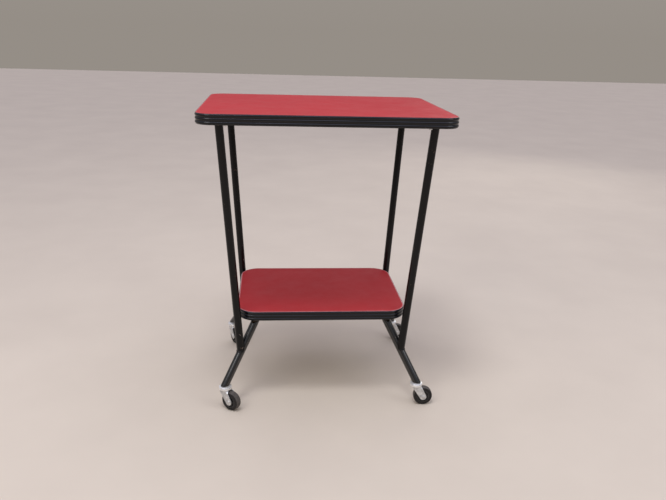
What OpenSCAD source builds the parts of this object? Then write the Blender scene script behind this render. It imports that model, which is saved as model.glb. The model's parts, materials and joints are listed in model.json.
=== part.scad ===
// Two-tier trolley on four swivel casters. Millimetres, +Z up.
// Origin: on the floor below the middle of the top. X is the width, -Y is the front.

/* [Top] */
// Width of the top over its edging
top_w = 560; // [540:5:620]
// Depth of the top over its edging
top_d = 450; // [440:5:500]
// Height of the top surface above the floor
top_z = 700; // [650:1:760]
// Thickness of the top
top_t = 23; // [18:0.5:26]
// Corner radius of the top
top_r = 37; // [25:1:60]

/* [Shelf] */
// Width of the shelf over its edging
shelf_w = 406; // [360:2:412]
// Depth of the shelf over its edging
shelf_d = 310; // [270:2:314]
// Height of the shelf surface above the floor
shelf_z = 233; // [225:1:260]
// Thickness of the shelf
shelf_t = 22; // [18:0.5:26]
// Corner radius of the shelf
shelf_r = 48; // [40:1:70]

/* [Panel layers] */
// Thickness of the red laminate
laminate_t = 1; // [0.8:0.1:1.5]
// Thickness of the paper backing under each panel
backing_t = 0.8; // [0.5:0.1:1.2]
// Full thickness of the ribbed edging
edging_t = 3.5; // [3:0.1:5]
// How far the edging ribs stand out of the strip
rib_out = 1.2; // [0.8:0.1:2]
// Number of ribs in the edging
rib_count = 3; // [2:1:4]

/* [Frame] */
// Outer diameter of the legs
leg_dia = 18; // [16:0.5:18.5]
// Outer diameter of the foot tubes
foot_dia = 19; // [19:0.5:21]
// Wall thickness of both tubes
wall = 1.5; // [1:0.1:2]
// Half spacing of the legs at the top, left to right
leg_x = 231; // [225:1:240]
// Half spacing of the legs at the top, front to back
leg_y = 186; // [180:1:192]
// Half spacing of the leg joints, left to right
joint_x = 194.5; // [190:0.5:200]
// Half spacing of the leg joints, front to back
joint_y = 147.5; // [144:0.5:152]
// Height of the leg joints
joint_z = 128; // [120:1:138]
// Half spacing of the feet, left to right
foot_x = 230.5; // [225:0.5:236]
// Half spacing of the feet, front to back
foot_y = 183; // [178:0.5:188]
// Bend radius of the foot tubes
bend_r = 28; // [26:1:34]
// Thickness of the plates on the leg tops
plate_t = 3; // [2:0.5:4]
// Side of the square plates on the leg tops
plate_w = 32; // [32:1:40]

/* [Casters] */
// Wheel diameter
wheel_dia = 46; // [44:1:46]
// Width of the tyre
tyre_w = 16.5; // [15:0.5:18]
// Distance from the swivel axis to the axle
trail = 17.5; // [15:0.5:20]
// Height of the tube ends above the floor
foot_z = 59.5; // [59.5:0.5:64]
// Outer diameter of the bearing ring
ring_dia = 30; // [30:0.5:34]
// Trail direction of the front left caster
swivel_fl = -35; // [-180:1:180]
// Trail direction of the front right caster
swivel_fr = -3; // [-180:1:180]
// Trail direction of the rear left caster
swivel_rl = -60; // [-180:1:180]
// Trail direction of the rear right caster
swivel_rr = 4; // [-180:1:180]

/* [Hidden] */
$fn = 72;

red = [0.72, 0.16, 0.17];
black = [0.08, 0.08, 0.09];
zinc = [0.72, 0.72, 0.7];
chipboard = [0.72, 0.6, 0.43];
paper = [0.55, 0.46, 0.36];

// Frame
leg_r = leg_dia / 2;
foot_r = foot_dia / 2;
top_under = top_z - top_t;
shelf_under = shelf_z - shelf_t;
leg_end_z = top_under - plate_t;
run_z = shelf_under - foot_r;
foot_rise = joint_z - foot_z;
lean_x = (foot_x - joint_x) / foot_rise;
tilt = atan(lean_x);
slope = (foot_y - joint_y) * cos(tilt) / foot_rise;
splay = atan(slope);
run_x = foot_x - lean_x * (run_z - foot_z);
arch_h = (run_z - foot_z) / cos(tilt);
corner_y = foot_y - slope * arch_h;
turn = 90 - splay;
bend_cut = bend_r * tan(turn / 2);
foot_len = arch_h / cos(splay) - bend_cut;
trim = 16;
big = 400;

// Screws
screw_r = 2;
screw_gap = 0.05;
screw_in = 14;
screw_head_r = 4.5;
screw_head_t = 3;
plate_shift = 5;
plate_r = 6;
plate_screw_x = 13;
plate_screw_y = 10;
shelf_screw_y = 60;

// Caster, heights above the floor and radii from its own axes
wheel_r = wheel_dia / 2;
ring_r = ring_dia / 2;
pin_r = 4;
held_gap = 0.02;
run_gap = 0.08;
plug_len = 18;
plug_gap = 0.05;
pin_in = 5.5;
collar_r = 7;
collar_t = 1.5;
fork_z = 49.6;
fork_t = 2;
rim_z = 54.8;
rim_t = 1.4;
pin_head_t = 2.7;
pin_head_r = 6;
pin_head_gap = 0.1;
race_out = 13.1;
race_low = 54.2;
lid_r = 14.7;
lid_z = 55.4;
lid_t = 1.2;
race_hub_r = 7;
race_hub_gap = 0.2;
ball_r = 1.5;
ball_ring = 10.2;
ball_z = 52.9;
ball_count = 16;
ball_gap = 0.1;
leg_in = 10;
leg_t = 1.8;
leg_back = -11;
leg_front = 12;
lobe_r = 8;
axle_r = 3;
axle_head_r = 4.6;
axle_head_t = 1.6;
hub_r = 15.5;
hub_half = 9.7;
web_half = 5;
rim_in = 13;
boss_r = 7;
tyre_half = tyre_w / 2;
tyre_edge = 3;

// Placing a child along the line from p to q, and at a caster
module along(p, q) {
    d = q - p;
    translate(p)
        rotate([0, acos(d[2] / norm(d)), atan2(d[1], d[0])])
            children();
}

module at_caster(sx, sy, angle) {
    translate([sx * foot_x, sy * foot_y, 0])
        rotate([0, 0, angle])
            children();
}

function joint_pt(sx, sy) = [sx * joint_x, sy * joint_y, joint_z];
function foot_pt(sx, sy) = [sx * foot_x, sy * foot_y, foot_z];
function leg_pt(sx, sy) = [sx * leg_x, sy * leg_y, leg_end_z];

// Panels
module rounded_plate(w, d, r, t) {
    linear_extrude(t) {
        square([w - 2 * r, d], center = true);
        square([w, d - 2 * r], center = true);
        for (sx = [-1, 1], sy = [-1, 1])
            translate([sx * (w / 2 - r), sy * (d / 2 - r)])
                circle(r = r);
    }
}

module core_plate(w, d, r, z, t) {
    translate([0, 0, z])
        rounded_plate(w - 2 * edging_t, d - 2 * edging_t, r - edging_t, t);
}

module edging_profile(t) {
    rib_r = t / (2 * rib_count);
    square([edging_t - rib_out, t]);
    intersection() {
        square([edging_t, t]);
        for (i = [0:rib_count - 1])
            translate([edging_t - rib_r, (2 * i + 1) * rib_r])
                circle(r = rib_r);
    }
}

module edging_side(len, reach, t) {
    translate([len / 2, 0, 0])
        rotate([90, 0, -90])
            linear_extrude(len)
                translate([-reach, 0])
                    mirror([1, 0])
                        edging_profile(t);
}

module edging_ring(w, d, r, z, t) {
    in_x = w / 2 - edging_t;
    in_y = d / 2 - edging_t;
    translate([0, 0, z]) {
        for (a = [0, 180])
            rotate([0, 0, a])
                edging_side(w - 2 * r, in_y, t);
        for (a = [90, 270])
            rotate([0, 0, a])
                edging_side(d - 2 * r, in_x, t);
        for (i = [0:3])
            translate([(i == 0 || i == 3 ? 1 : -1) * (w / 2 - r), (i < 2 ? 1 : -1) * (d / 2 - r), 0])
                rotate([0, 0, 90 * i])
                    rotate_extrude(angle = 90)
                        translate([r - edging_t, 0])
                            edging_profile(t);
    }
}

module plate_screw_spots() {
    for (sx = [-1, 1], sy = [-1, 1], s = [-1, 1])
        translate([sx * (leg_x - plate_screw_x), sy * leg_y + s * plate_screw_y, 0])
            children();
}

module shelf_screw_spots() {
    for (sx = [-1, 1], s = [-1, 1])
        translate([sx * run_x, s * shelf_screw_y, 0])
            children();
}

module top_board() color(chipboard) {
    difference() {
        core_plate(top_w, top_d, top_r, top_under + backing_t, top_t - backing_t - laminate_t);
        plate_screw_spots()
            translate([0, 0, top_under])
                cylinder(r = screw_r + screw_gap, h = screw_in + screw_gap);
    }
}

module top_laminate() color(red)
    core_plate(top_w, top_d, top_r, top_z - laminate_t, laminate_t);

module top_backing() color(paper) {
    difference() {
        core_plate(top_w, top_d, top_r, top_under, backing_t);
        plate_screw_spots()
            translate([0, 0, top_under - 1])
                cylinder(r = screw_r + screw_gap, h = screw_in);
    }
}

module top_edging() color(black)
    edging_ring(top_w, top_d, top_r, top_under, top_t);

module shelf_board() color(chipboard) {
    difference() {
        core_plate(shelf_w, shelf_d, shelf_r, shelf_under + backing_t, shelf_t - backing_t - laminate_t);
        shelf_screw_spots()
            translate([0, 0, shelf_under])
                cylinder(r = screw_r + screw_gap, h = screw_in + screw_gap);
    }
}

module shelf_laminate() color(red)
    core_plate(shelf_w, shelf_d, shelf_r, shelf_z - laminate_t, laminate_t);

module shelf_backing() color(paper) {
    difference() {
        core_plate(shelf_w, shelf_d, shelf_r, shelf_under, backing_t);
        shelf_screw_spots()
            translate([0, 0, shelf_under - 1])
                cylinder(r = screw_r + screw_gap, h = screw_in);
    }
}

module shelf_edging() color(black)
    edging_ring(shelf_w, shelf_d, shelf_r, shelf_under, shelf_t);

// Legs, cut to the foot tube at the bottom and flat at the top
module leg(sx, sy) {
    low = joint_pt(sx, sy);
    high = leg_pt(sx, sy);
    len = norm(high - low);
    difference() {
        along(low, high)
            rotate([0, 0, 90])
                difference() {
                    cylinder(r = leg_r, h = len + trim);
                    translate([0, 0, -1])
                        cylinder(r = leg_r - wall, h = len + 2 * trim);
                }
        translate([sx * leg_x - big / 2, sy * leg_y - big / 2, leg_end_z])
            cube([big, big, big]);
        along(foot_pt(sx, sy), low)
            cylinder(r = foot_r, h = 2 * norm(low - foot_pt(sx, sy)));
    }
}

module leg_front_left() color(black) leg(-1, -1);
module leg_front_right() color(black) leg(1, -1);
module leg_rear_left() color(black) leg(-1, 1);
module leg_rear_right() color(black) leg(1, 1);

// Plates on the leg tops
module leg_plate(sx, sy) {
    translate([sx * (leg_x - plate_shift), sy * leg_y, leg_end_z])
        difference() {
            rounded_plate(plate_w, plate_w, plate_r, plate_t);
            for (s = [-1, 1])
                translate([sx * (plate_shift - plate_screw_x), s * plate_screw_y, -1])
                    cylinder(r = screw_r + screw_gap, h = plate_t + 2);
        }
}

module plate_front_left() color(black) leg_plate(-1, -1);
module plate_front_right() color(black) leg_plate(1, -1);
module plate_rear_left() color(black) leg_plate(-1, 1);
module plate_rear_right() color(black) leg_plate(1, 1);

module top_screws() color(zinc)
    plate_screw_spots()
        translate([0, 0, leg_end_z]) {
            cylinder(r = screw_r, h = screw_in + plate_t);
            translate([0, 0, -screw_head_t])
                cylinder(r1 = screw_head_r - 1, r2 = screw_head_r, h = screw_head_t);
        }

module shelf_screws() color(zinc)
    shelf_screw_spots()
        translate([0, 0, run_z - foot_r]) {
            cylinder(r = screw_r, h = foot_dia + screw_in);
            translate([0, 0, -screw_head_t])
                cylinder(r1 = screw_head_r - 1, r2 = screw_head_r, h = screw_head_t);
        }

// Foot tubes: down from one foot, along under the shelf, down to the other foot
module tube_ring() {
    difference() {
        circle(r = foot_r);
        circle(r = foot_r - wall);
    }
}

module arch_end() {
    translate([0, corner_y - bend_cut, -bend_r])
        rotate([90, 0, 90])
            rotate([0, 0, splay]) {
                rotate_extrude(angle = turn)
                    translate([bend_r, 0])
                        tube_ring();
                translate([bend_r, 0, 0])
                    rotate([90, 0, 0])
                        linear_extrude(foot_len + trim)
                            tube_ring();
            }
}

module foot_arch(sx) {
    difference() {
        translate([sx * run_x, 0, run_z])
            rotate([0, -sx * tilt, 0]) {
                translate([0, corner_y - bend_cut, 0])
                    rotate([90, 0, 0])
                        linear_extrude(2 * (corner_y - bend_cut))
                            tube_ring();
                arch_end();
                rotate([0, 0, 180])
                    arch_end();
            }
        translate([sx * foot_x - big, -big, foot_z - big])
            cube([2 * big, 2 * big, big]);
        for (s = [-1, 1])
            translate([sx * run_x, s * shelf_screw_y, run_z - foot_dia])
                cylinder(r = screw_r + screw_gap, h = 2 * foot_dia);
    }
}

module foot_arch_left() color(black) foot_arch(-1);
module foot_arch_right() color(black) foot_arch(1);

// Plugs closing the foot tubes, bored upright for the caster pins
module plug(sx, sy) {
    base = foot_pt(sx, sy);
    difference() {
        along(base, joint_pt(sx, sy))
            translate([0, 0, -trim])
                rotate([0, 0, 90])
                    cylinder(r = foot_r - wall - plug_gap, h = plug_len + trim);
        translate([base[0] - big / 2, base[1] - big / 2, foot_z - big])
            cube([big, big, big]);
        translate([base[0], base[1], foot_z - 1])
            cylinder(r = pin_r + held_gap, h = pin_in + 1 + held_gap);
    }
}

module plug_front_left() color(zinc) plug(-1, -1);
module plug_front_right() color(zinc) plug(1, -1);
module plug_rear_left() color(zinc) plug(-1, 1);
module plug_rear_right() color(zinc) plug(1, 1);

// Caster pin: head under the fork, collar under the tube end
module stem() {
    head_top = fork_z - pin_head_gap;
    translate([0, 0, head_top - pin_head_t])
        cylinder(r1 = pin_head_r - 1, r2 = pin_head_r, h = pin_head_t);
    translate([0, 0, head_top])
        cylinder(r = pin_r, h = foot_z + pin_in - head_top);
    translate([0, 0, foot_z - collar_t])
        cylinder(r = collar_r, h = collar_t);
}

module stem_front_left() color(zinc) at_caster(-1, -1, 0) stem();
module stem_front_right() color(zinc) at_caster(1, -1, 0) stem();
module stem_rear_left() color(zinc) at_caster(-1, 1, 0) stem();
module stem_rear_right() color(zinc) at_caster(1, 1, 0) stem();

module ball_groove() {
    rotate_extrude()
        translate([ball_ring, ball_z])
            circle(r = ball_r + ball_gap);
}

// Upper half of the ball bearing, held on the pin, with a lid over the fork rim
module race() {
    race_top = foot_z - collar_t;
    difference() {
        rotate_extrude()
            polygon([
                [pin_r + held_gap, fork_z + fork_t + race_hub_gap],
                [race_hub_r, fork_z + fork_t + race_hub_gap],
                [race_hub_r, race_low],
                [race_out, race_low],
                [race_out, lid_z],
                [lid_r, lid_z],
                [lid_r, lid_z + lid_t],
                [race_hub_r + 1, race_top],
                [pin_r + held_gap, race_top]
            ]);
        ball_groove();
    }
}

module race_front_left() color(zinc) at_caster(-1, -1, 0) race();
module race_front_right() color(zinc) at_caster(1, -1, 0) race();
module race_rear_left() color(zinc) at_caster(-1, 1, 0) race();
module race_rear_right() color(zinc) at_caster(1, 1, 0) race();

module balls() {
    for (i = [0:ball_count - 1])
        rotate([0, 0, i * 360 / ball_count])
            translate([ball_ring, 0, ball_z])
                sphere(r = ball_r);
}

module balls_front_left() color(zinc) at_caster(-1, -1, swivel_fl) balls();
module balls_front_right() color(zinc) at_caster(1, -1, swivel_fr) balls();
module balls_rear_left() color(zinc) at_caster(-1, 1, swivel_rl) balls();
module balls_rear_right() color(zinc) at_caster(1, 1, swivel_rr) balls();

// Fork: a dished ring with two legs that narrow to round lobes at the axle
function tangent_pt(p, c, r, side) =
    let (d = c - p, a = atan2(d[1], d[0]) + side * asin(r / norm(d)))
    p + sqrt(norm(d) * norm(d) - r * r) * [cos(a), sin(a)];

module fork_leg_shape() {
    hub_pt = [trail, wheel_r];
    back = [leg_back, fork_z + fork_t];
    front = [leg_front, fork_z + fork_t];
    polygon([
        back,
        front,
        tangent_pt(front, hub_pt, lobe_r, 1),
        hub_pt,
        tangent_pt(back, hub_pt, lobe_r, -1)
    ]);
    translate(hub_pt)
        circle(r = lobe_r);
}

module fork() {
    difference() {
        union() {
            rotate_extrude()
                polygon([
                    [pin_r + run_gap, fork_z],
                    [ring_r, fork_z],
                    [ring_r, rim_z],
                    [ring_r - rim_t, rim_z],
                    [ring_r - rim_t, fork_z + fork_t],
                    [pin_r + run_gap, fork_z + fork_t]
                ]);
            for (s = [0, 1])
                translate([0, s == 0 ? -leg_in : leg_in + leg_t, 0])
                    rotate([90, 0, 0])
                        linear_extrude(leg_t)
                            fork_leg_shape();
        }
        ball_groove();
        translate([trail, leg_in + 2 * leg_t, wheel_r])
            rotate([90, 0, 0])
                cylinder(r = axle_r + held_gap, h = 2 * leg_in + 4 * leg_t);
    }
}

module fork_front_left() color(zinc) at_caster(-1, -1, swivel_fl) fork();
module fork_front_right() color(zinc) at_caster(1, -1, swivel_fr) fork();
module fork_rear_left() color(zinc) at_caster(-1, 1, swivel_rl) fork();
module fork_rear_right() color(zinc) at_caster(1, 1, swivel_rr) fork();

module on_axle() {
    translate([trail, 0, wheel_r])
        rotate([90, 0, 0])
            children();
}

module axle() {
    half = leg_in + leg_t;
    on_axle() {
        cylinder(r = axle_r, h = 2 * half, center = true);
        translate([0, 0, half])
            cylinder(r1 = axle_head_r, r2 = axle_r, h = axle_head_t);
        translate([0, 0, -half - axle_head_t])
            cylinder(r1 = axle_r, r2 = axle_head_r, h = axle_head_t);
    }
}

module axle_front_left() color(zinc) at_caster(-1, -1, swivel_fl) axle();
module axle_front_right() color(zinc) at_caster(1, -1, swivel_fr) axle();
module axle_rear_left() color(zinc) at_caster(-1, 1, swivel_rl) axle();
module axle_rear_right() color(zinc) at_caster(1, 1, swivel_rr) axle();

// Wheel: moulded hub with recessed sides and a plain tyre
module hub() {
    bore = axle_r + run_gap;
    on_axle()
        rotate_extrude()
            polygon([
                [bore, -hub_half], [boss_r, -hub_half],
                [boss_r, -web_half], [rim_in, -web_half],
                [rim_in, -tyre_half], [hub_r, -tyre_half],
                [hub_r, tyre_half], [rim_in, tyre_half],
                [rim_in, web_half], [boss_r, web_half],
                [boss_r, hub_half], [bore, hub_half]
            ]);
}

module tyre() {
    on_axle()
        rotate_extrude() {
            translate([hub_r, -tyre_half])
                square([wheel_r - tyre_edge - hub_r, tyre_w]);
            translate([hub_r, tyre_edge - tyre_half])
                square([wheel_r - hub_r, tyre_w - 2 * tyre_edge]);
            for (s = [-1, 1])
                translate([wheel_r - tyre_edge, s * (tyre_half - tyre_edge)])
                    circle(r = tyre_edge);
        }
}

module hub_front_left() color(black) at_caster(-1, -1, swivel_fl) hub();
module hub_front_right() color(black) at_caster(1, -1, swivel_fr) hub();
module hub_rear_left() color(black) at_caster(-1, 1, swivel_rl) hub();
module hub_rear_right() color(black) at_caster(1, 1, swivel_rr) hub();

module tyre_front_left() color(black) at_caster(-1, -1, swivel_fl) tyre();
module tyre_front_right() color(black) at_caster(1, -1, swivel_fr) tyre();
module tyre_rear_left() color(black) at_caster(-1, 1, swivel_rl) tyre();
module tyre_rear_right() color(black) at_caster(1, 1, swivel_rr) tyre();

top_board();
top_laminate();
top_backing();
top_edging();
shelf_board();
shelf_laminate();
shelf_backing();
shelf_edging();
leg_front_left();
leg_front_right();
leg_rear_left();
leg_rear_right();
plate_front_left();
plate_front_right();
plate_rear_left();
plate_rear_right();
foot_arch_left();
foot_arch_right();
top_screws();
shelf_screws();
plug_front_left();
plug_front_right();
plug_rear_left();
plug_rear_right();
stem_front_left();
stem_front_right();
stem_rear_left();
stem_rear_right();
race_front_left();
race_front_right();
race_rear_left();
race_rear_right();
balls_front_left();
balls_front_right();
balls_rear_left();
balls_rear_right();
fork_front_left();
fork_front_right();
fork_rear_left();
fork_rear_right();
axle_front_left();
axle_front_right();
axle_rear_left();
axle_rear_right();
hub_front_left();
hub_front_right();
hub_rear_left();
hub_rear_right();
tyre_front_left();
tyre_front_right();
tyre_rear_left();
tyre_rear_right();
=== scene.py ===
import json
import math
import random

import bmesh
import bpy
from mathutils import Matrix, Vector


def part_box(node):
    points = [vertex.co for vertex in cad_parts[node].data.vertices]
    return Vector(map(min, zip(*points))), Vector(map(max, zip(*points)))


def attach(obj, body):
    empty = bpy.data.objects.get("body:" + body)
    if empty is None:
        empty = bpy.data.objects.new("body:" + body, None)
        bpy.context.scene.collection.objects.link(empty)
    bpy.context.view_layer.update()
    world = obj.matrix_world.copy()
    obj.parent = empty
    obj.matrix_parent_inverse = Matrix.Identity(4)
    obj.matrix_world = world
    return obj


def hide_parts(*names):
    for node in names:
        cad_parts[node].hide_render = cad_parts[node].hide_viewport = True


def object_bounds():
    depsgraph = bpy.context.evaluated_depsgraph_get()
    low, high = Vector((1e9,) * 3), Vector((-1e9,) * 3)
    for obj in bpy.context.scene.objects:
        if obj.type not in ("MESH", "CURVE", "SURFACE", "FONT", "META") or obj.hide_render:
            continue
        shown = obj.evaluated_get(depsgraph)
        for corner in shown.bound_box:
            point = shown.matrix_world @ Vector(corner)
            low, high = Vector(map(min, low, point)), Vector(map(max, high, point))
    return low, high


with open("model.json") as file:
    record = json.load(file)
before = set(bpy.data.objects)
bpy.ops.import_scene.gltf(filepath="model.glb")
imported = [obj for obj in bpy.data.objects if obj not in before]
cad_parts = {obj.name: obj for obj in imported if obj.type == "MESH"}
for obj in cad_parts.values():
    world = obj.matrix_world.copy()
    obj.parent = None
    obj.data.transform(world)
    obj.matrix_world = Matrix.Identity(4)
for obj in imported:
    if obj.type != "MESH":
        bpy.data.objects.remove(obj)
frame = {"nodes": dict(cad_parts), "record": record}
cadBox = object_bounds()
nodes = frame["nodes"]
corners = {"front_left": (-1, -1), "front_right": (1, -1), "rear_left": (-1, 1), "rear_right": (1, 1)}
print("frame loaded:", len(nodes), "nodes")


# small helpers for shader trees

def startMaterial(name, roughness=0.5, metallic=0.0, coat=0.0, coatRoughness=0.1, specular=0.5):
    material = bpy.data.materials.new(name)
    material.use_nodes = True
    tree = material.node_tree
    tree.nodes.clear()
    out = tree.nodes.new("ShaderNodeOutputMaterial")
    shader = tree.nodes.new("ShaderNodeBsdfPrincipled")
    shader.inputs["Roughness"].default_value = roughness
    shader.inputs["Metallic"].default_value = metallic
    shader.inputs["Coat Weight"].default_value = coat
    shader.inputs["Coat Roughness"].default_value = coatRoughness
    shader.inputs["Specular IOR Level"].default_value = specular
    tree.links.new(shader.outputs["BSDF"], out.inputs["Surface"])
    coords = tree.nodes.new("ShaderNodeTexCoord")
    return material, tree, shader, coords.outputs["Object"]


def feed(tree, shader, socket, value):
    tree.links.new(value, shader.inputs[socket])


def stretch(tree, coords, scale, turn=(0, 0, 0)):
    mapping = tree.nodes.new("ShaderNodeMapping")
    mapping.inputs["Scale"].default_value = scale
    mapping.inputs["Rotation"].default_value = [math.radians(a) for a in turn]
    tree.links.new(coords, mapping.inputs["Vector"])
    return mapping.outputs["Vector"]


def noise(tree, coords, scale, detail=3.0, rough=0.55, warp=0.0):
    tex = tree.nodes.new("ShaderNodeTexNoise")
    tex.inputs["Scale"].default_value = scale
    tex.inputs["Detail"].default_value = detail
    tex.inputs["Roughness"].default_value = rough
    tex.inputs["Distortion"].default_value = warp
    tree.links.new(coords, tex.inputs["Vector"])
    return tex.outputs["Fac"]


def ramp(tree, value, stops):
    node = tree.nodes.new("ShaderNodeValToRGB")
    cells = node.color_ramp.elements
    while len(cells) < len(stops):
        cells.new(0.5)
    for cell, (place, colour) in zip(cells, stops):
        cell.position = place
        cell.color = (*colour, 1) if len(colour) == 3 else colour
    tree.links.new(value, node.inputs["Fac"])
    return node.outputs["Color"]


def window(tree, value, low, high, toLow=0.0, toHigh=1.0):
    node = tree.nodes.new("ShaderNodeMapRange")
    node.inputs["From Min"].default_value = low
    node.inputs["From Max"].default_value = high
    node.inputs["To Min"].default_value = toLow
    node.inputs["To Max"].default_value = toHigh
    tree.links.new(value, node.inputs["Value"])
    return node.outputs["Result"]


def mixColour(tree, factor, first, second):
    node = tree.nodes.new("ShaderNodeMix")
    node.data_type = "RGBA"
    for socket, thing in (("Factor", factor), ("A", first), ("B", second)):
        target = [s for s in node.inputs if s.name == socket and s.enabled][0]
        if isinstance(thing, (int, float)):
            target.default_value = thing
        elif isinstance(thing, tuple):
            target.default_value = (*thing, 1)
        else:
            tree.links.new(thing, target)
    return [s for s in node.outputs if s.enabled][0]


def marked(tree, name):
    # reads a mark that markPoints left on the mesh
    node = tree.nodes.new("ShaderNodeAttribute")
    node.attribute_name = name
    return node.outputs["Fac"]


def calc(tree, operation, a, b=0.0):
    node = tree.nodes.new("ShaderNodeMath")
    node.operation = operation
    for socket, thing in zip(node.inputs, (a, b)):
        if isinstance(thing, (int, float)):
            socket.default_value = thing
        else:
            tree.links.new(thing, socket)
    return node.outputs["Value"]


def bump(tree, shader, height, strength, distance, after=None):
    node = tree.nodes.new("ShaderNodeBump")
    node.inputs["Strength"].default_value = strength
    node.inputs["Distance"].default_value = distance
    tree.links.new(height, node.inputs["Height"])
    if after:
        tree.links.new(after, node.inputs["Normal"])
    feed(tree, shader, "Normal", node.outputs["Normal"])
    return node.outputs["Normal"]


# finishes

laminate = {
    "scratches": (  # turn, scale, cut
        (24, (9, 420, 9), 0.735),
        (-38, (7, 520, 7), 0.745),
        (80, (10, 380, 10), 0.75),
    ),
    "scratchShown": 0.55,
    "gloss": (0.44, 0.6),
    "colour": (0.465, 0.029, 0.036),
    "deep": (0.42, 0.022, 0.028),
    "scratch": (0.72, 0.26, 0.26),
    "dust": (0.52, 0.12, 0.11),
    # pale rim colour: partly rubbed wear, partly a painted highlight along the edge
    "wornGlint": (0.78, 0.38, 0.39),
}


def makeLaminate():
    material, tree, shader, at = startMaterial("redLaminate", roughness=0.5, specular=0.16)
    mottle = noise(tree, at, 5.0, 4.0, 0.6)
    fleck = noise(tree, at, 260.0, 2.0, 0.6)
    base = ramp(tree, mottle, [(0.3, laminate["deep"]), (0.7, laminate["colour"])])
    base = mixColour(tree, window(tree, fleck, 0.55, 0.75, 0.0, 0.35), base, laminate["deep"])
    lines = None
    for turn, scale, cut in laminate["scratches"]:
        streak = noise(tree, stretch(tree, at, scale, (0, 0, turn)), 1.0, 2.0, 0.7)
        line = window(tree, streak, cut, cut + 0.04)
        lines = line if lines is None else calc(tree, "MAXIMUM", lines, line)
    patch = window(tree, noise(tree, at, 9.0, 2.0), 0.5, 0.62)
    lines = calc(tree, "MULTIPLY", lines, patch)
    base = mixColour(tree, calc(tree, "MULTIPLY", lines, laminate["scratchShown"]), base, laminate["scratch"])
    haze = window(tree, noise(tree, at, 14.0, 6.0, 0.7), 0.5, 0.8, 0.0, 0.08)
    base = mixColour(tree, haze, base, laminate["dust"])
    uneven = window(tree, noise(tree, at, 60.0, 4.0), 0.3, 0.6, 0.6, 1.0)
    rim = calc(tree, "MULTIPLY", marked(tree, "wornGlint"), uneven)  # the rim of the sheet is painted pale: partly rubbed wear, partly a painted highlight along the edge
    base = mixColour(tree, rim, base, laminate["wornGlint"])
    feed(tree, shader, "Base Color", base)
    smear = window(tree, noise(tree, at, 22.0, 5.0, 0.65), 0.3, 0.75, *laminate["gloss"])
    rough = calc(tree, "ADD", smear, calc(tree, "MULTIPLY", lines, 0.25))
    feed(tree, shader, "Roughness", rough)
    suede = noise(tree, at, 900.0, 2.0, 0.6)
    first = bump(tree, shader, suede, 0.16, 0.0002)
    bump(tree, shader, noise(tree, at, 3.5, 2.0), 0.1, 0.002, after=first)
    return material


edging = {
    "gloss": (0.1, 0.22),
    # how strongly the ribs' upper flanks are painted with a bluish highlight
    "paintedSheenShown": 0.55,
    "colour": (0.0035, 0.0035, 0.0045),
    "scuff": (0.10, 0.10, 0.105),
    "dust": (0.035, 0.032, 0.029),
    # painted highlight: pale bluish colour for the ribs' upper flanks
    "paintedSheen": (0.085, 0.088, 0.120),
}


def makeEdging():
    material, tree, shader, at = startMaterial("blackEdging", roughness=0.16, specular=0.34)
    scuffs = window(tree, noise(tree, stretch(tree, at, (60, 60, 420)), 1.0, 4.0, 0.7), 0.66, 0.76)
    dirt = window(tree, noise(tree, at, 40.0, 6.0, 0.7), 0.5, 0.8, 0.0, 0.12)
    base = mixColour(tree, calc(tree, "MULTIPLY", scuffs, 0.5), edging["colour"], edging["scuff"])
    base = mixColour(tree, dirt, base, edging["dust"])
    # painted highlight: the upper flank of each rib is painted a pale bluish sheen that stands for the bright
    # overhead sky reflected there
    facing = tree.nodes.new("ShaderNodeSeparateXYZ")
    tree.links.new(tree.nodes["Texture Coordinate"].outputs["Normal"], facing.inputs["Vector"])
    upward = window(tree, facing.outputs["Z"], 0.3, 0.65, 0.0, edging["paintedSheenShown"])
    patches = window(tree, noise(tree, stretch(tree, at, (9, 9, 40)), 1.0, 3.0), 0.3, 0.6, 0.4, 1.0)
    paintedSheen = calc(tree, "MULTIPLY", upward, patches)
    base = mixColour(tree, paintedSheen, base, edging["paintedSheen"])
    feed(tree, shader, "Base Color", base)
    rough = window(tree, noise(tree, at, 30.0, 4.0), 0.3, 0.7, *edging["gloss"])
    feed(tree, shader, "Roughness", calc(tree, "ADD", rough, calc(tree, "MULTIPLY", scuffs, 0.2)))
    bump(tree, shader, noise(tree, stretch(tree, at, (30, 30, 240)), 1.0, 3.0), 0.2, 0.0006)
    return material


enamel = {
    "colour": (0.0035, 0.0032, 0.0036),
    "brown": (0.03, 0.017, 0.011),
    "primer": (0.16, 0.10, 0.065),
    "steel": (0.30, 0.28, 0.26),
    "dust": (0.035, 0.030, 0.026),
    "leg": {"specular": 0.16, "coat": 0.15, "gloss": (0.14, 0.26)},
    "foot": {"specular": 0.4, "coat": 0.85, "gloss": (0.05, 0.12)},  # the feet kept more of their shine
    "coatRoughness": 0.04,
}


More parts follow.
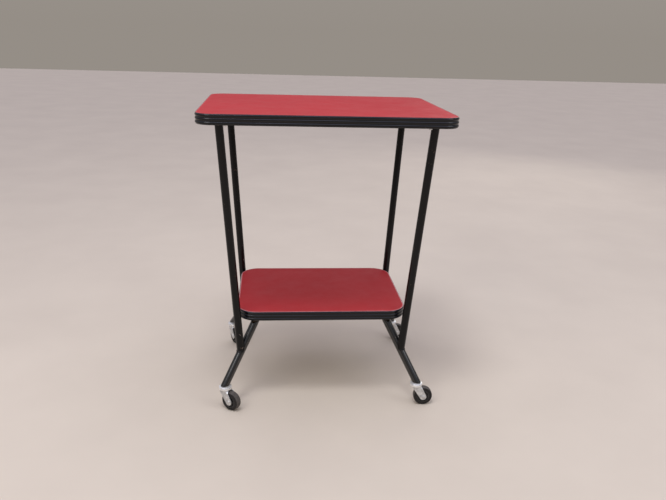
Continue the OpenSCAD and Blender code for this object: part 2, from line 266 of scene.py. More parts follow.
def makeEnamel(name, part):
    material, tree, shader, at = startMaterial(
        name, roughness=0.2, specular=part["specular"], coat=part["coat"], coatRoughness=enamel["coatRoughness"])
    chips = noise(tree, at, 130.0, 5.0, 0.65, 0.4)
    areas = window(tree, noise(tree, at, 11.0, 3.0), 0.45, 0.7)
    chipMask = calc(tree, "MULTIPLY", window(tree, chips, 0.68, 0.7), areas)
    edgeMask = calc(tree, "MULTIPLY", window(tree, chips, 0.655, 0.67), areas)
    haze = window(tree, noise(tree, at, 26.0, 6.0, 0.7), 0.45, 0.85, 0.0, 0.08)
    base = mixColour(tree, haze, enamel["colour"], enamel["dust"])
    thin = window(tree, noise(tree, at, 55.0, 5.0), 0.6, 0.8, 0.0, 0.35)
    base = mixColour(tree, thin, base, enamel["brown"])
    base = mixColour(tree, edgeMask, base, enamel["primer"])
    base = mixColour(tree, chipMask, base, enamel["steel"])
    feed(tree, shader, "Base Color", base)
    rough = window(tree, noise(tree, at, 45.0, 4.0), 0.3, 0.75, *part["gloss"])
    feed(tree, shader, "Roughness", calc(tree, "ADD", rough, calc(tree, "MULTIPLY", edgeMask, 0.3)))
    peel = noise(tree, at, 340.0, 2.0, 0.5)
    first = bump(tree, shader, peel, 0.12, 0.0006)
    bump(tree, shader, calc(tree, "SUBTRACT", 1.0, edgeMask), 0.5, 0.0001, after=first)
    return material


plating = {
    "colour": (0.80, 0.805, 0.80),
    "dull": (0.50, 0.505, 0.505),
    # painted highlight: the near-white colour laid on the marked ring and race
    "bright": (0.96, 0.96, 0.95),
    "rust": (0.20, 0.10, 0.05),
    "grime": (0.10, 0.09, 0.075),
    # how strongly the painted highlight shows on the marked parts
    "paintedShineShown": 0.8,
}


def makePlating(name, roughLow, roughHigh, dirtAmount):
    material, tree, shader, at = startMaterial(name, roughness=0.4, metallic=0.6)
    cloud = noise(tree, at, 120.0, 5.0, 0.65)
    base = ramp(tree, cloud, [(0.35, plating["dull"]), (0.65, plating["colour"])])
    grime = window(tree, noise(tree, at, 75.0, 6.0, 0.7, 0.5), 0.55, 0.75, 0.0, dirtAmount)
    base = mixColour(tree, grime, base, plating["grime"])
    # painted highlight: the marked ring top and race are painted near white for their shine; the same mark also
    # makes them a little smoother, a real polish
    polishAndPaintedShine = marked(tree, "polishAndPaintedShine")
    base = mixColour(tree, calc(tree, "MULTIPLY", polishAndPaintedShine, plating["paintedShineShown"]), base, plating["bright"])
    spots = window(tree, noise(tree, at, 420.0, 4.0, 0.6), 0.66, 0.72, 0.0, dirtAmount)
    base = mixColour(tree, spots, base, plating["rust"])
    feed(tree, shader, "Base Color", base)
    rough = window(tree, cloud, 0.3, 0.7, roughHigh, roughLow)
    rough = calc(tree, "SUBTRACT", rough, calc(tree, "MULTIPLY", polishAndPaintedShine, 0.08))
    feed(tree, shader, "Roughness", rough)
    bump(tree, shader, noise(tree, at, 600.0, 3.0), 0.18, 0.0003)
    return material


rubber = {
    "colour": (0.010, 0.009, 0.009),
    "worn": (0.030, 0.026, 0.025),
    # lighter grey laid on the tread
    "tread": (0.125, 0.110, 0.100),
    "dust": (0.12, 0.105, 0.095),
}


def makeRubber():
    material, tree, shader, at = startMaterial("blackRubber", roughness=0.7, specular=0.35)
    wear = noise(tree, at, 90.0, 6.0, 0.7)
    base = ramp(tree, wear, [(0.4, rubber["colour"]), (0.75, rubber["worn"])])
    # the tread is painted a lighter grey than the sides
    treadLighter = calc(tree, "MULTIPLY", marked(tree, "tread"), window(tree, wear, 0.25, 0.7, 0.35, 0.9))
    base = mixColour(tree, treadLighter, base, rubber["tread"])
    dusty = window(tree, noise(tree, at, 260.0, 5.0, 0.7), 0.5, 0.8, 0.0, 0.3)
    base = mixColour(tree, dusty, base, rubber["dust"])
    feed(tree, shader, "Base Color", base)
    feed(tree, shader, "Roughness", window(tree, wear, 0.3, 0.7, 0.6, 0.85))
    bump(tree, shader, noise(tree, at, 700.0, 4.0, 0.6), 0.35, 0.0004)
    return material


hubPlastic = {"colour": (0.028, 0.027, 0.027), "dust": (0.15, 0.14, 0.12)}


def makeHubPlastic():
    material, tree, shader, at = startMaterial("hubPlastic", roughness=0.5, specular=0.4)
    dusty = window(tree, noise(tree, at, 140.0, 5.0, 0.65), 0.5, 0.8, 0.0, 0.35)
    base = mixColour(tree, dusty, hubPlastic["colour"], hubPlastic["dust"])
    feed(tree, shader, "Base Color", base)
    feed(tree, shader, "Roughness", window(tree, noise(tree, at, 80.0, 3.0), 0.3, 0.7, 0.4, 0.6))
    bump(tree, shader, noise(tree, at, 500.0, 3.0), 0.25, 0.0003)
    return material


board = {"light": (0.50, 0.36, 0.20), "dark": (0.25, 0.16, 0.08)}
paper = {"light": (0.30, 0.215, 0.14), "dark": (0.20, 0.14, 0.09), "stain": (0.10, 0.07, 0.045)}


def makeBoard():
    material, tree, shader, at = startMaterial("particleBoard", roughness=0.9, specular=0.2)
    chips = noise(tree, stretch(tree, at, (1, 1, 3)), 420.0, 5.0, 0.7)
    base = ramp(tree, chips, [(0.35, board["dark"]), (0.6, board["light"])])
    feed(tree, shader, "Base Color", base)
    bump(tree, shader, chips, 0.5, 0.0006)
    return material


def makePaper():
    material, tree, shader, at = startMaterial("backingPaper", roughness=0.85, specular=0.25)
    fibre = noise(tree, stretch(tree, at, (120, 900, 120)), 1.0, 5.0, 0.7)
    base = ramp(tree, fibre, [(0.3, paper["dark"]), (0.7, paper["light"])])
    stain = window(tree, noise(tree, at, 6.0, 5.0, 0.6), 0.55, 0.75, 0.0, 0.4)
    base = mixColour(tree, stain, base, paper["stain"])
    feed(tree, shader, "Base Color", base)
    bump(tree, shader, fibre, 0.3, 0.0003)
    return material


finishes = {
    "laminate": makeLaminate(),
    "edging": makeEdging(),
    "frame_paint": makeEnamel("legEnamel", enamel["leg"]),
    "foot_paint": makeEnamel("footEnamel", enamel["foot"]),
    "zinc": makePlating("zincPlate", 0.34, 0.5, 0.5),
    "screw_steel": makePlating("screwSteel", 0.28, 0.45, 0.3),
    "ball_steel": makePlating("ballSteel", 0.15, 0.25, 0.1),
    "axle_steel": makePlating("axleSteel", 0.3, 0.45, 0.4),
    "wheel_tyre": makeRubber(),
    "wheel_hub": makeHubPlastic(),
    "chipboard": makeBoard(),
    "backing": makePaper(),
}
slotOf = {row["node"]: row["material_slot"] for row in frame["record"]["subparts"]}
for name, thing in nodes.items():
    finish = "foot_paint" if name.startswith("foot_arch") else slotOf[name]
    thing.data.materials.clear()
    thing.data.materials.append(finishes[finish])
print("finishes set on", len(nodes), "nodes")


# mesh building helpers

def keepMesh(name, mesh, body, slotName, *replaced):
    piece = bpy.data.objects.new(name, mesh)
    bpy.context.scene.collection.objects.link(piece)
    mesh.materials.append(finishes[slotName])
    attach(piece, body)
    if replaced:
        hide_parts(*replaced)
    return piece


def meshFrom(name, points, faces, smooth=40):
    mesh = bpy.data.meshes.new(name)
    mesh.from_pydata([tuple(p) for p in points], [], faces)
    build = bmesh.new()
    build.from_mesh(mesh)
    bmesh.ops.remove_doubles(build, verts=build.verts, dist=1e-6)
    bmesh.ops.recalc_face_normals(build, faces=build.faces)
    build.to_mesh(mesh)
    build.free()
    smoothByAngle(mesh, smooth)
    return mesh


def smoothByAngle(mesh, angle):
    build = bmesh.new()
    build.from_mesh(mesh)
    limit = math.radians(angle)
    for face in build.faces:
        face.smooth = True
    for edge in build.edges:
        edge.smooth = len(edge.link_faces) == 2 and edge.calc_face_angle(0) < limit
    build.to_mesh(mesh)
    build.free()


def markPoints(mesh, name, amount):
    layer = mesh.attributes.new(name, "FLOAT", "POINT")
    for point, mark in zip(mesh.vertices, layer.data):
        mark.value = amount(point.co)


def joined(name, meshes):
    build = bmesh.new()
    for mesh in meshes:
        build.from_mesh(mesh)
    result = bpy.data.meshes.new(name)
    build.to_mesh(result)
    build.free()
    return result


def worked(mesh, *steps):
    # runs modifiers on a bare mesh and hands back the finished mesh
    holder = bpy.data.objects.new("workpiece", mesh)
    bpy.context.scene.collection.objects.link(holder)
    for kind, settings in steps:
        step = holder.modifiers.new(kind.lower(), kind)
        for key, value in settings.items():
            setattr(step, key, value)
    graph = bpy.context.evaluated_depsgraph_get()
    done = bpy.data.meshes.new_from_object(holder.evaluated_get(graph), depsgraph=graph)
    bpy.data.objects.remove(holder)
    return done


def filleted(corners2d, steps=4):
    # corners as (x, y, radius); a radius above zero rounds that corner with an arc
    outline = []
    count = len(corners2d)
    for i, (x, y, radius) in enumerate(corners2d):
        here = Vector((x, y))
        before = (Vector(corners2d[i - 1][:2]) - here)
        after = (Vector(corners2d[(i + 1) % count][:2]) - here)
        if radius <= 0:
            outline.append(here)
            continue
        a, b = before.normalized(), after.normalized()
        half = a.angle(b) / 2
        run = radius / math.tan(half)
        centre = here + (a + b).normalized() * (radius / math.sin(half))
        start = here + a * run - centre
        swing = (here + b * run - centre).angle_signed(start)
        for k in range(steps + 1):
            outline.append(centre + Matrix.Rotation(swing * k / steps, 2) @ start)
    return outline


nearAxis = 0.00001  # radius of a lathed piece where it closes on its axis


def lathe(name, outline, steps, smooth=40):
    # outline is a closed loop of (radius, height), turned about Z
    points, faces = [], []
    count = len(outline)
    for i in range(steps):
        turn = 2 * math.pi * i / steps
        points += [(r * math.cos(turn), r * math.sin(turn), h) for r, h in outline]
    for i in range(steps):
        low, high = i * count, (i + 1) % steps * count
        for k in range(count):
            after = (k + 1) % count
            faces.append((low + k, high + k, high + after, low + after))
    return meshFrom(name, points, faces, smooth)


def sweep(stations, profileSize, closed):
    # stations are rings of points, one per place along the path
    points = [p for ring in stations for p in ring]
    faces = []
    last = len(stations) if closed else len(stations) - 1
    for i in range(last):
        low, high = i * profileSize, (i + 1) % len(stations) * profileSize
        for k in range(profileSize):
            after = (k + 1) % profileSize
            faces.append((low + k, low + after, high + after, high + k))
    if not closed:
        faces.append(tuple(range(profileSize)))
        faces.append(tuple(len(points) - profileSize + k for k in range(profileSize)))
    return points, faces


def islands(node):
    # boxes of the separate solids inside one CAD node
    build = bmesh.new()
    build.from_mesh(nodes[node].data)
    bmesh.ops.remove_doubles(build, verts=build.verts, dist=1e-6)
    left, found = set(build.verts), []
    while left:
        stack, low, high = [left.pop()], Vector((9, 9, 9)), Vector((-9, -9, -9))
        while stack:
            here = stack.pop()
            low, high = Vector(map(min, low, here.co)), Vector(map(max, high, here.co))
            for edge in here.link_edges:
                other = edge.other_vert(here)
                if other in left:
                    left.discard(other)
                    stack.append(other)
        found.append((low, high))
    build.free()
    return sorted(found, key=lambda box: (round(box[0].x, 4), round(box[0].y, 4)))


# panels: laminate sheets and ribbed edging

panels = {
    # rim amount per sheet: how strongly its edge is painted pale, part wear and part painted highlight
    "top": {"corner": 0.037, "wornGlint": 0.3},
    "shelf": {"corner": 0.048, "wornGlint": 0.9},
    "edging": {"thick": 0.0035, "rib": 0.0012, "ribs": 3, "ribSteps": 8, "lip": 0.0005, "seam": 0.0003},
    "sheet": {"arris": 0.0005, "thick": 0.001, "lap": 0.0016, "play": 0.00005, "wornGlintWide": 0.0022},
    "cornerSteps": 20,
    "sideStep": 0.02,
}


def roundedPath(width, depth, radius, gap=0.0):
    # stations (point, outward direction) round a rounded rectangle, from the middle of the rear side
    stations = []
    steps = panels["cornerSteps"]

    def side(start, end, out):
        count = max(1, round((end - start).length / panels["sideStep"]))
        for k in range(count):
            stations.append((start.lerp(end, k / count), out))

    x, y = width / 2 - radius, depth / 2 - radius
    spots = [(-x, y, 90), (-x, -y, 180), (x, -y, 270), (x, y, 0)]
    here = Vector((-gap, depth / 2))
    out = Vector((0, 1))
    for cx, cy, start in spots:
        arcStart = Vector((cx, cy)) + out * radius
        side(here, arcStart, out.copy())
        for k in range(steps):
            angle = math.radians(start + 90 * k / steps)
            way = Vector((math.cos(angle), math.sin(angle)))
            stations.append((Vector((cx, cy)) + way * radius, way))
        angle = math.radians(start + 90)
        out = Vector((round(math.cos(angle)), round(math.sin(angle))))
        here = Vector((cx, cy)) + out * radius
    side(here, Vector((gap, depth / 2)), out)
    stations.append((Vector((gap, depth / 2)), Vector((0, 1))))
    return stations


def ribbedProfile(height):
    # (outward, up) points of the strip, inner face first
    spec = panels["edging"]
    ribR = height / (2 * spec["ribs"])
    middle = spec["thick"] - ribR
    valley = spec["thick"] - spec["rib"]
    openAngle = math.acos((valley - middle) / ribR)
    points = [(0.0, 0.0)]
    for rib in range(spec["ribs"]):
        up = (2 * rib + 1) * ribR
        for k in range(spec["ribSteps"] + 1):
            angle = -openAngle + 2 * openAngle * k / spec["ribSteps"]
            points.append((middle + ribR * math.cos(angle), up + ribR * math.sin(angle)))
    points.append((valley - spec["lip"] * 0.3, height - spec["lip"] * 0.3))
    rebate = panels["sheet"]["lap"] + panels["sheet"]["play"]
    step = height - panels["sheet"]["thick"] - panels["sheet"]["play"]
    points += [(valley - spec["lip"], height), (rebate, height), (rebate, step), (0.0, step)]
    points[1:1] = [(valley - spec["lip"], 0.0)]
    return points


def makeEdgingStrip(name, node, corner):
    low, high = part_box(node)
    spec = panels["edging"]
    thick = spec["thick"]
    width, depth = round(high.x - low.x, 3), round(high.y - low.y, 3)
    profile = ribbedProfile(high.z - low.z)
    path = roundedPath(width - 2 * thick, depth - 2 * thick, corner - thick, spec["seam"])
    rings = [[(at.x + out.x * x, at.y + out.y * x, low.z + z) for x, z in profile] for at, out in path]
    points, faces = sweep(rings, len(profile), closed=False)
    return keepMesh(name, meshFrom(name, points, faces, 50), "frame", "edging", node)


def makeSheet(name, node, corner, wornGlint):
    low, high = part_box(node)
    arris, lap, wornGlintWide = (panels["sheet"][key] for key in ("arris", "lap", "wornGlintWide"))
    width, depth = high.x - low.x + 2 * lap, high.y - low.y + 2 * lap
    radius = corner - panels["edging"]["thick"] + lap
    path = roundedPath(width, depth, radius)[:-1]
    levels = [(0.0, low.z), (0.0, high.z - arris), (arris * 0.3, high.z - arris * 0.3), (arris, high.z),
              (wornGlintWide * 0.6, high.z), (wornGlintWide, high.z)]
    points = [(at.x - out.x * inset, at.y - out.y * inset, z) for inset, z in levels for at, out in path]
    count = len(path)
    faces = []
    for row in range(len(levels) - 1):
        low, high = row * count, (row + 1) * count
        for k in range(count):
            after = (k + 1) % count
            faces.append((low + k, low + after, high + after, high + k))
    faces.append(tuple(range(count)))
    faces.append(tuple(range((len(levels) - 1) * count, len(levels) * count)))
    mesh = meshFrom(name, points, faces, 30)

    def wornGlintOf(at):
        # full at the rim, nothing beyond the width of the pale band of wear and painted highlight
        x, y = abs(at.x) - width / 2 + radius, abs(at.y) - depth / 2 + radius
        inset = radius - (math.hypot(x, y) if x > 0 and y > 0 else max(x, y))
        return wornGlint if inset < wornGlintWide * 0.8 else 0.0

    # marks the rim band that is painted pale, part rubbed wear and part painted highlight
    markPoints(mesh, "wornGlint", wornGlintOf)
    return keepMesh(name, mesh, "frame", "laminate", node)


for part in ("top", "shelf"):
    corner = panels[part]["corner"]
    makeEdgingStrip(part + "EdgingStrip", part + "_edging", corner)
    makeSheet(part + "LaminateSheet", part + "_laminate", corner, panels[part]["wornGlint"])
print("panels built")


# casters

caster = {
    "turnSteps": 64,
    "ring": {"radius": 0.015, "wall": 0.0014, "floor": 0.002, "hole": 0.0041,
             "low": 0.0496, "top": 0.0548, "bend": 0.0012},
    "leg": {"inner": 0.010, "thick": 0.0018, "back": -0.011, "front": 0.012, "lobe": 0.008,
            "flatten": 0.007, "across": 12, "along": 26, "edge": 0.0004, "rise": 0.0015, "inset": 0.0013},
    "tyre": {"bore": 0.0155, "half": 0.00825, "shoulder": 0.003, "seam": 0.00025, "seamHalf": 0.0005,
             "step": 0.0006, "lip": 0.002, "lipFoot": 0.0026, "steps": 96},
    "hub": {"rim": 0.013, "boss": 0.007, "bore": 0.00308, "web": 0.005, "half": 0.0097, "round": 0.0006,
            "ribs": 6, "ribThick": 0.0018, "ribHeight": 0.0075, "ribBite": 0.0012},
    "axle": {"radius": 0.003, "head": 0.0046, "headTall": 0.0016, "reach": 0.0118, "steps": 40, "domeSteps": 7},
    "race": {"hole": 0.00402, "hubR": 0.007, "outer": 0.0131, "under": 0.0542, "hubUnder": 0.0518,
             "lidR": 0.0147, "lidLow": 0.0554, "lidTop": 0.0566, "top": 0.058, "round": 0.0006},
}


def casterPlace(corner):
    # matrix from a caster's own axes (origin under the pin, +X towards the wheel) to the row
    pinLow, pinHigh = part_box("stem_" + corner)
    wheelLow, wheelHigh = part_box("tyre_" + corner)
    pin, wheel = (pinLow + pinHigh) / 2, (wheelLow + wheelHigh) / 2
    away = Vector((wheel.x - pin.x, wheel.y - pin.y))
    turn = Matrix.Rotation(math.atan2(away.y, away.x), 4, "Z")
    return Matrix.Translation((pin.x, pin.y, 0)) @ turn, away.length, wheel.z


def axleTurn(trail, wheelZ):
    return Matrix.Translation((trail, 0, wheelZ)) @ Matrix.Rotation(math.pi / 2, 4, "X")


def tangentTouch(point, centre, radius, side):
    gap = centre - point
    angle = math.atan2(gap.y, gap.x) + side * math.asin(radius / gap.length)
    return point + Vector((math.cos(angle), math.sin(angle))) * math.sqrt(gap.length ** 2 - radius ** 2)


def forkLegMesh(trail, wheelZ, side):
    leg, ring = caster["leg"], caster["ring"]
    topZ = ring["low"] + leg["rise"]
    hubAt = Vector((trail, wheelZ))
    back, front = Vector((leg["back"], topZ)), Vector((leg["front"], topZ))
    backTouch = tangentTouch(back, hubAt, leg["lobe"], -1)
    frontTouch = tangentTouch(front, hubAt, leg["lobe"], 1)
    bottom = wheelZ - leg["lobe"]

    def edges(z):
        # left and right limits of the leg at a height
        reach = math.sqrt(max(leg["lobe"] ** 2 - (z - wheelZ) ** 2, 0))
        left, right = trail - reach, trail + reach
        if z > backTouch.y:
            left = back.lerp(backTouch, (topZ - z) / (topZ - backTouch.y)).x
        if z > frontTouch.y:
            right = front.lerp(frontTouch, (topZ - z) / (topZ - frontTouch.y)).x
        return left, right

    points, faces = [], []
    across, along = leg["across"], leg["along"]
    for row in range(along + 1):
        share = math.sin(math.pi / 2 * row / along)
        z = topZ + (bottom + 1e-5 - topZ) * share
        left, right = edges(z)
        ease = min(max((topZ - z) / leg["flatten"], 0), 1)
        ease = ease * ease * (3 - 2 * ease)
        for k in range(across + 1):
            x = left + (right - left) * k / across
            curved = math.sqrt(max((ring["radius"] - leg["inset"]) ** 2 - x * x, 0))
            flat = leg["inner"] + leg["thick"]
            points.append((x, side * (curved + (flat - curved) * ease), z))
    for row in range(along):
        for k in range(across):
            a = row * (across + 1) + k
            quad = (a, a + 1, a + across + 2, a + across + 1)
            faces.append(quad if side > 0 else quad[::-1])
    sheet = bpy.data.meshes.new("forkLeg")
    sheet.from_pydata(points, [], faces)
    solid = ("SOLIDIFY", {"thickness": leg["thick"], "offset": -1.0, "use_even_offset": True})
    bevel = ("BEVEL", {"width": leg["edge"], "segments": 2, "limit_method": "ANGLE",
                       "angle_limit": math.radians(50)})
    return worked(sheet, solid, bevel)


def makeFork(corner):
    place, trail, wheelZ = casterPlace(corner)
    ring = caster["ring"]
    r, wall, bend = ring["radius"], ring["wall"], ring["bend"]
    cup = filleted([
        (ring["hole"], ring["low"], 0.0002),
        (r, ring["low"], bend),
        (r, ring["top"], wall * 0.45),
        (r - wall, ring["top"], wall * 0.45),
        (r - wall, ring["low"] + ring["floor"], bend * 0.5),
        (ring["hole"], ring["low"] + ring["floor"], 0.0002),
    ])
    parts = [lathe("forkRing", cup, caster["turnSteps"])]
    parts += [forkLegMesh(trail, wheelZ, side) for side in (-1, 1)]
    mesh = joined("fork", parts)
    smoothByAngle(mesh, 35)
    # marks the ring above its bottom bend for the painted highlight and the smoother polish
    markPoints(mesh, "polishAndPaintedShine", lambda at: 1.0 if at.z > ring["low"] + bend * 0.4 else 0.0)
    mesh.transform(place)
    return keepMesh("fork." + corner, mesh, "caster_" + corner, "zinc", "fork_" + corner)


def makeRace(corner):
    place = casterPlace(corner)[0]
    race = caster["race"]
    edge = race["round"]
    cap = filleted([
        (race["hole"], race["hubUnder"], 0),
        (race["hubR"], race["hubUnder"], 0.0002),
        (race["hubR"], race["under"], 0),
        (race["outer"], race["under"], 0.0003),
        (race["outer"], race["lidLow"], 0),
        (race["lidR"], race["lidLow"], 0.0003),
        (race["lidR"], race["lidTop"], edge),
        (race["hubR"] + 0.001, race["top"], edge),
        (race["hole"], race["top"], 0),
    ])
    mesh = lathe("race", cap, caster["turnSteps"])
    # the whole race is marked for the painted highlight and the smoother polish
    markPoints(mesh, "polishAndPaintedShine", lambda at: 1.0)
    mesh.transform(place)
    return keepMesh("race." + corner, mesh, "frame", "zinc", "race_" + corner)


def makeTyre(corner):
    place, trail, wheelZ = casterPlace(corner)
    tyre = caster["tyre"]
    wheelR, half = wheelZ, tyre["half"]
    seam, seamHalf = tyre["seam"], tyre["seamHalf"]
    lip, lipFoot = tyre["bore"] + tyre["lip"], tyre["bore"] + tyre["lipFoot"]
    outline = filleted([
        (tyre["bore"], -half, 0),
        (lip, -half, 0.0002),
        (lipFoot, -half + tyre["step"], 0.0003),
        (wheelR - tyre["shoulder"] * 1.1, -half + tyre["step"] * 0.4, 0.0006),
        (wheelR - seam, -half + 0.0006, tyre["shoulder"] * 0.9),
        (wheelR - seam, -seamHalf, 0.0002),
        (wheelR, 0, 0.0002),
        (wheelR - seam, seamHalf, 0.0002),
        (wheelR - seam, half - 0.0006, tyre["shoulder"] * 0.9),
        (wheelR - tyre["shoulder"] * 1.1, half - tyre["step"] * 0.4, 0.0006),
        (lipFoot, half - tyre["step"], 0.0003),
        (lip, half, 0.0002),
        (tyre["bore"], half, 0),
    ], 6)
    mesh = lathe("tyre", outline, tyre["steps"], 50)
    # only the tread is painted a lighter grey
    treadR = wheelR - tyre["shoulder"] * 0.45
    markPoints(mesh, "tread", lambda at: 1.0 if at.xy.length > treadR else 0.0)
    mesh.transform(place @ axleTurn(trail, wheelZ))
    return keepMesh("tyre." + corner, mesh, "wheel_" + corner, "wheel_tyre", "tyre_" + corner)


def makeHub(corner):
    place, trail, wheelZ = casterPlace(corner)
    hub, tyre = caster["hub"], caster["tyre"]
    soft = hub["round"]
    half, rimHalf = hub["half"], tyre["half"] - 0.0001
    outline = filleted([
        (hub["bore"], -half, soft * 0.5), (hub["boss"], -half, soft),
        (hub["boss"], -hub["web"], soft), (hub["rim"], -hub["web"], soft),
        (hub["rim"], -rimHalf, soft), (tyre["bore"], -rimHalf, soft * 0.3),
        (tyre["bore"], rimHalf, soft * 0.3), (hub["rim"], rimHalf, soft),
        (hub["rim"], hub["web"], soft), (hub["boss"], hub["web"], soft),
        (hub["boss"], half, soft), (hub["bore"], half, soft * 0.5),
    ])
    parts = [lathe("hub", outline, caster["turnSteps"])]
    for k in range(hub["ribs"]):
        turn = Matrix.Rotation(2 * math.pi * k / hub["ribs"], 3, "Z")
        rib = bpy.data.meshes.new("hubRib")
        build = bmesh.new()
        bmesh.ops.create_cube(build, size=1.0)
        length = hub["rim"] - hub["boss"] + hub["ribBite"]  # sinks into boss and rim at both ends
        bmesh.ops.scale(build, vec=(length, hub["ribThick"], 2 * hub["ribHeight"]), verts=build.verts)
        bmesh.ops.translate(build, vec=((hub["rim"] + hub["boss"]) / 2, 0, 0), verts=build.verts)
        bmesh.ops.bevel(build, geom=build.edges[:], offset=soft * 0.6, segments=2, affect="EDGES",
                        profile=0.5)
        bmesh.ops.rotate(build, matrix=turn, verts=build.verts)
        build.to_mesh(rib)
        build.free()
        parts.append(rib)
    mesh = joined("hub", parts)
    smoothByAngle(mesh, 35)
    mesh.transform(place @ axleTurn(trail, wheelZ))
    return keepMesh("hub." + corner, mesh, "wheel_" + corner, "wheel_hub", "hub_" + corner)


def makeAxle(corner):
    place, trail, wheelZ = casterPlace(corner)
    axle = caster["axle"]
    reach, tall = axle["reach"], axle["headTall"]
    count = axle["domeSteps"]
    dome = [(axle["head"] * math.cos(math.pi / 2 * k / count), reach + tall * math.sin(math.pi / 2 * k / count))
            for k in range(1, count)]
    half = [(axle["radius"], 0.0), (axle["radius"], reach), (axle["head"], reach)] + dome
    half.append((nearAxis, reach + tall))
    outline = [(r, -h) for r, h in reversed(half)] + half[1:]
    outline.append((nearAxis, 0.0))
    mesh = lathe("axle", outline, axle["steps"], 35)
    mesh.transform(place @ axleTurn(trail, wheelZ))
    return keepMesh("axle." + corner, mesh, "caster_" + corner, "axle_steel", "axle_" + corner)


for corner in corners:
    makeFork(corner)
    makeRace(corner)
    makeTyre(corner)
    makeHub(corner)
    makeAxle(corner)
print("casters built")


# frame tubes: welds

tubes = {
    "legR": 0.009, "footR": 0.0095,
    "legTop": (0.231, 0.186, 0.674), "joint": (0.1945, 0.1475, 0.128), "foot": (0.2305, 0.183, 0.0595),
    "bead": 0.0017, "beadFlat": 0.75, "ripple": 0.22, "jitter": 0.06, "pitch": 0.0026,
    "aroundSteps": 96, "beadSteps": 10, "topLean": 0.8, "topSink": 0.0003,
}


def cornerPoint(name, sx, sy):
    x, y, z = tubes[name]
    return Vector((sx * x, sy * y, z))


def beadRings(spots, seed):
    # a rippled bead along a closed loop of (place, outward direction)
    draw = random.Random(seed)
    phase = draw.random() * 6
    rings, travelled = [], 0.0
    count, jitter = len(spots), tubes["jitter"]
    angles = [2 * math.pi * k / tubes["beadSteps"] for k in range(tubes["beadSteps"])]
    for i, (at, out) in enumerate(spots):
        along = (spots[(i + 1) % count][0] - spots[i - 1][0]).normalized()
        travelled += (at - spots[i - 1][0]).length if i else 0
        swell = abs(math.sin(math.pi * travelled / tubes["pitch"] + phase))
        wave = 1 + tubes["ripple"] * swell + draw.uniform(-jitter, jitter)
        across = along.cross(out).normalized()
        size = tubes["bead"] * wave
        flat = out * tubes["beadFlat"]
        rings.append([at + (flat * math.cos(a) + across * math.sin(a)) * size for a in angles])
    return rings


def makeJointWeld(corner, sx, sy, seed):
    # bead round the coped end of a leg, where it meets the foot tube
    joint, top, foot = [cornerPoint(name, sx, sy) for name in ("joint", "legTop", "foot")]
    legWay, footWay = (top - joint).normalized(), (foot - joint).normalized()
    side = legWay.cross(footWay).normalized()
    front = side.cross(legWay)
    spots = []
    for k in range(tubes["aroundSteps"]):
        angle = 2 * math.pi * k / tubes["aroundSteps"]
        around = front * math.cos(angle) + side * math.sin(angle)
        start = joint + around * tubes["legR"]
        # highest point of this line of the leg's wall that touches the foot tube
        offset = start - joint
        a = 1 - legWay.dot(footWay) ** 2
        b = 2 * (offset.dot(legWay) - offset.dot(footWay) * legWay.dot(footWay))
        c = offset.length_squared - offset.dot(footWay) ** 2 - tubes["footR"] ** 2
        run = (-b + math.sqrt(max(b * b - 4 * a * c, 0))) / (2 * a)
        at = start + legWay * run
        awayFoot = (at - joint) - footWay * (at - joint).dot(footWay)
        spots.append((at, (around + awayFoot.normalized()).normalized()))
    rings = beadRings(spots, seed)
    points, faces = sweep(rings, tubes["beadSteps"], closed=True)
    mesh = meshFrom("jointWeld", points, faces, 60)
    return keepMesh("jointWeld." + corner, mesh, "frame", "frame_paint")


def makeTopWeld(corner, sx, sy, seed):
    # bead round the top of a leg, under its plate
    joint, top = cornerPoint("joint", sx, sy), cornerPoint("legTop", sx, sy)
    legWay = (top - joint).normalized()
    side = legWay.cross(Vector((0, 0, 1))).normalized()
    front = side.cross(legWay)
    spots = []
    for k in range(tubes["aroundSteps"] // 2):
        angle = 4 * math.pi * k / tubes["aroundSteps"]
        around = front * math.cos(angle) + side * math.sin(angle)
        at = top + around * tubes["legR"]
        at += legWay * ((top.z - tubes["topSink"] - at.z) / legWay.z)
        spots.append((at, (around - Vector((0, 0, 1)) * tubes["topLean"]).normalized()))
    rings = beadRings(spots, seed)
    points, faces = sweep(rings, tubes["beadSteps"], closed=True)
    mesh = meshFrom("topWeld", points, faces, 60)
    return keepMesh("topWeld." + corner, mesh, "frame", "frame_paint")


for seed, (corner, (sx, sy)) in enumerate(corners.items()):
    makeJointWeld(corner, sx, sy, seed)
    makeTopWeld(corner, sx, sy, seed + 10)
print("welds built")


# screws

screw = {"shank": 0.002, "head": 0.0045, "tall": 0.003, "slotWide": 0.0011, "slotDeep": 0.0013, "steps": 40}


def makeScrews(name, node):
    # slotted pan heads pointing down, one per solid of the node
    draw = random.Random(len(name))
    parts = []
    for low, high in islands(node):
        at = (low + high) / 2
        r, tall = screw["head"], screw["tall"]
        outline = filleted([
            (screw["shank"], high.z - low.z, 0.0003), (nearAxis, high.z - low.z, 0),
            (nearAxis, 0, 0), (r * 0.9, 0, tall * 0.45), (r, tall, 0.0002), (screw["shank"], tall, 0),
        ], 6)
        body = lathe("screw", outline, screw["steps"], 35)
        cutter = bpy.data.meshes.new("slot")
        build = bmesh.new()
        bmesh.ops.create_cube(build, size=1.0)
        bmesh.ops.scale(build, vec=(4 * r, screw["slotWide"], 2 * screw["slotDeep"]), verts=build.verts)
        build.to_mesh(cutter)
        build.free()
        tool = bpy.data.objects.new("slotTool", cutter)
        bpy.context.scene.collection.objects.link(tool)
        cut = worked(body, ("BOOLEAN", {"object": tool, "operation": "DIFFERENCE", "solver": "EXACT"}))
        bpy.data.objects.remove(tool)
        turn = Matrix.Rotation(draw.uniform(0, math.pi), 4, "Z")
        cut.transform(Matrix.Translation((at.x, at.y, low.z)) @ turn)
        parts.append(cut)
    mesh = joined(name, parts)
    smoothByAngle(mesh, 35)
    return keepMesh(name, mesh, "frame", "screw_steel", node)


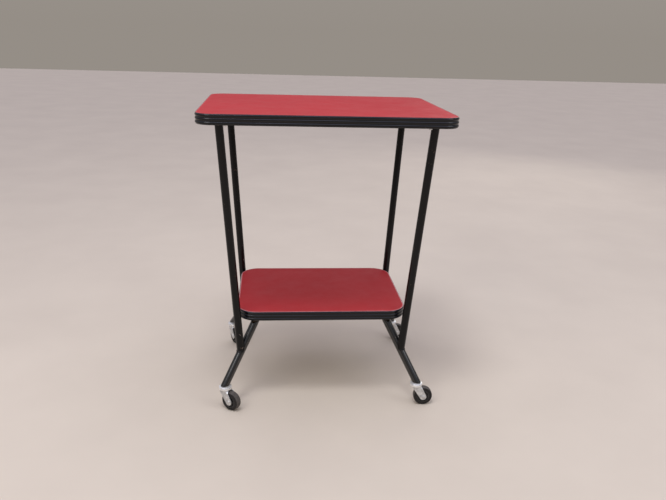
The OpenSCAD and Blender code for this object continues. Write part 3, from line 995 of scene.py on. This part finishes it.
makeScrews("topScrews", "top_screws")
makeScrews("shelfScrews", "shelf_screws")
print("screws built")


# floor, light and camera

ground = {"light": (0.67, 0.59, 0.49), "dark": (0.63, 0.553, 0.46), "halfSide": 12.0}


def makeFloor():
    material, tree, shader, at = startMaterial("paleFloor", roughness=0.85, specular=0.2)
    base = ramp(tree, noise(tree, at, 3.0, 4.0), [(0.3, ground["dark"]), (0.7, ground["light"])])
    feed(tree, shader, "Base Color", base)
    mesh = bpy.data.meshes.new("floor")
    grid = bmesh.new()
    bmesh.ops.create_grid(grid, x_segments=4, y_segments=4, size=ground["halfSide"])
    grid.to_mesh(mesh)
    grid.free()
    floor = bpy.data.objects.new("floor", mesh)
    floor.location = (0, 0, cadBox[0][2])
    mesh.materials.append(material)
    bpy.context.scene.collection.objects.link(floor)


studio = {
    "sky": [(0.0, (0.60, 0.54, 0.48)), (0.15, (0.66, 0.60, 0.55)), (0.45, (0.86, 0.86, 0.90)),
            (0.68, (1.10, 1.10, 1.25)), (1.0, (2.5, 2.45, 3.0))],  # height, colour
    "skyStrength": 0.5,
    "aim": (0, 0, 0.35),
    "key": {"place": (-1.7, -1.9, 2.5), "size": 1.6, "power": 20, "colour": (1.0, 0.97, 0.93)},
    "fill": {"place": (1.9, -1.3, 2.0), "size": 1.4, "power": 9, "colour": (0.93, 0.96, 1.0)},
    "side": {"place": (1.8, 2.9, 1.5), "size": 1.5, "power": 8, "colour": (1.0, 0.98, 0.95)},
    "top": {"place": (-0.4, -0.9, 3.0), "size": 0.7, "power": 22, "colour": (0.93, 0.95, 1.0)},
}


def addSoftLight(name, spec):
    data = bpy.data.lights.new(name, "AREA")
    data.shape = "DISK"
    data.size = spec["size"]
    data.energy = spec["power"]
    data.color = spec["colour"]
    lamp = bpy.data.objects.new(name, data)
    lamp.location = spec["place"]
    lamp.visible_camera = False
    ahead = Vector(studio["aim"]) - Vector(spec["place"])
    lamp.rotation_euler = ahead.to_track_quat("-Z", "Y").to_euler()
    bpy.context.scene.collection.objects.link(lamp)


def makeStudio():
    # a soft dome: dim near the horizon, bright overhead
    world = bpy.data.worlds.new("studio")
    world.use_nodes = True
    tree = world.node_tree
    sky = tree.nodes["Background"]
    coords = tree.nodes.new("ShaderNodeTexCoord")
    split = tree.nodes.new("ShaderNodeSeparateXYZ")
    tree.links.new(coords.outputs["Generated"], split.inputs["Vector"])
    tree.links.new(ramp(tree, split.outputs["Z"], studio["sky"]), sky.inputs["Color"])
    sky.inputs["Strength"].default_value = studio["skyStrength"]
    scene = bpy.context.scene
    scene.world = world
    scene.view_settings.view_transform = "Standard"
    for name in ("key", "fill", "side", "top"):
        addSoftLight(name, studio[name])


eye = {"place": (-0.1208, -1.6262, 0.8695), "yaw": 0.0953, "down": 0.3154, "roll": 0.0295, "lens": 36.53,
       "sensor": 36, "reach": 60}


def makeCamera():
    data = bpy.data.cameras.new("view")
    data.sensor_width = eye["sensor"]
    data.lens = eye["lens"]
    data.clip_end = eye["reach"]
    camera = bpy.data.objects.new("view", data)
    ahead = Vector((math.sin(eye["yaw"]) * math.cos(eye["down"]),
                    math.cos(eye["yaw"]) * math.cos(eye["down"]),
                    -math.sin(eye["down"])))
    level = Vector((math.cos(eye["yaw"]), -math.sin(eye["yaw"]), 0))
    above = level.cross(ahead)
    right = level * math.cos(eye["roll"]) + above * math.sin(eye["roll"])
    top = above * math.cos(eye["roll"]) - level * math.sin(eye["roll"])
    turn = Matrix((right, top, -ahead)).transposed().to_4x4()
    camera.matrix_world = Matrix.Translation(eye["place"]) @ turn
    bpy.context.scene.collection.objects.link(camera)
    bpy.context.scene.camera = camera


makeFloor()
makeStudio()
makeCamera()
print("floor, light and camera set")
